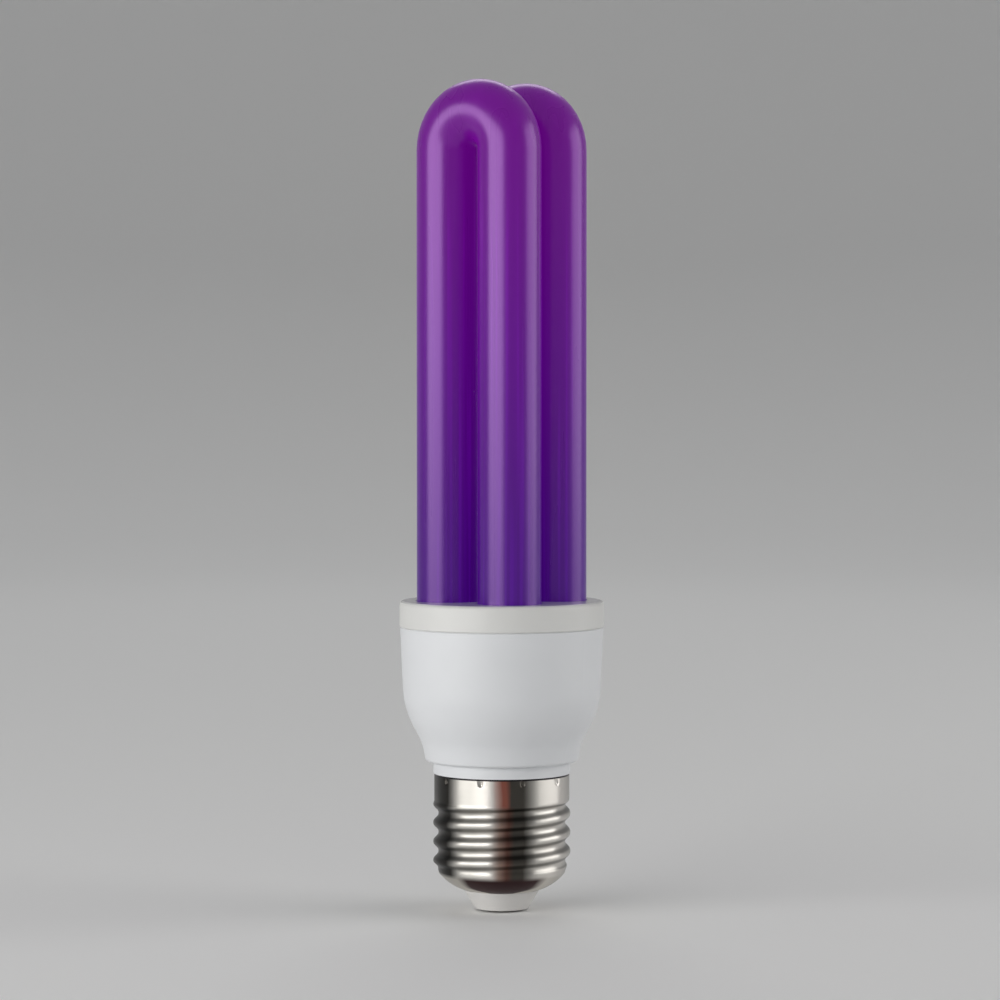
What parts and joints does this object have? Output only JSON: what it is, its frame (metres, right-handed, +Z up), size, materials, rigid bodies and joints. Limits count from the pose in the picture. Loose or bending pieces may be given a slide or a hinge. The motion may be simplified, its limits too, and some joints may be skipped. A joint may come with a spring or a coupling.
{
  "type": "black light bulb",
  "caption": "Compact fluorescent black-light lamp: bent violet glass tubes on a white ballast housing with a screw cap.",
  "frame": {"origin": "centre of the centre contact's face at the lamp's foot", "axes": "+Z up along the lamp's axis, from the screw cap to the tubes' bends; each U tube lies in a plane along X"},
  "size_m": [0.039, 0.039, 0.1576],
  "materials": {
    "violet_glass": "polished, dark violet",
    "holder_plastic": "satin, warm white",
    "housing_plastic": "satin, white",
    "tube_cement": "matt, cast",
    "nickel_shell": "nickel plate, satin",
    "insulator_plastic": "matt, off-white",
    "contact_metal": "nickel plate, satin",
    "board_laminate": "satin, brown laminate",
    "tinned_wire": "bright tin",
    "ferrite": "matt, sintered",
    "bobbin_plastic": "satin, black",
    "copper_winding": "enamelled copper",
    "can_sleeve": "shrunk sleeve, dark blue",
    "film_dip": "dipped, red-brown",
    "black_epoxy": "moulded, black",
    "resistor_coat": "lacquer, tan",
    "trigger_coat": "lacquer, blue",
    "sleeve_braid": "woven glass sleeve"
  },
  "bodies": {
    "root": {"ballast_housing": "housing_plastic", "cap_insulator": "insulator_plastic", "centre_contact": "contact_metal", "choke_bobbin": "bobbin_plastic", "choke_core_lower": "ferrite", "choke_core_upper": "ferrite", "choke_pins": "tinned_wire", "choke_winding": "copper_winding", "circuit_board": "board_laminate", "coupling_capacitor": "film_dip", "discharge_tube": "violet_glass", "electrode_lead_1": "tinned_wire", "electrode_lead_2": "tinned_wire", "electrode_lead_3": "tinned_wire", "electrode_lead_4": "tinned_wire", "feedback_core": "ferrite", "feedback_winding": "copper_winding", "fuse_resistor": "resistor_coat", "fuse_sleeve": "sleeve_braid", "rectifier_diode_1": "black_epoxy", "rectifier_diode_2": "black_epoxy", "rectifier_diode_3": "black_epoxy", "rectifier_diode_4": "black_epoxy", "reservoir_capacitor": "can_sleeve", "resistor_1": "resistor_coat", "resistor_2": "resistor_coat", "resistor_3": "resistor_coat", "resistor_4": "resistor_coat", "screw_shell": "nickel_shell", "shell_lead": "tinned_wire", "start_capacitor": "film_dip", "transistor_1": "black_epoxy", "transistor_2": "black_epoxy", "trigger_diode": "trigger_coat", "tube_cement_1": "tube_cement", "tube_cement_2": "tube_cement", "tube_cement_3": "tube_cement", "tube_cement_4": "tube_cement", "tube_holder": "holder_plastic", "wrap_pin_1": "tinned_wire", "wrap_pin_2": "tinned_wire", "wrap_pin_3": "tinned_wire", "wrap_pin_4": "tinned_wire"}
  },
  "joints": []
}
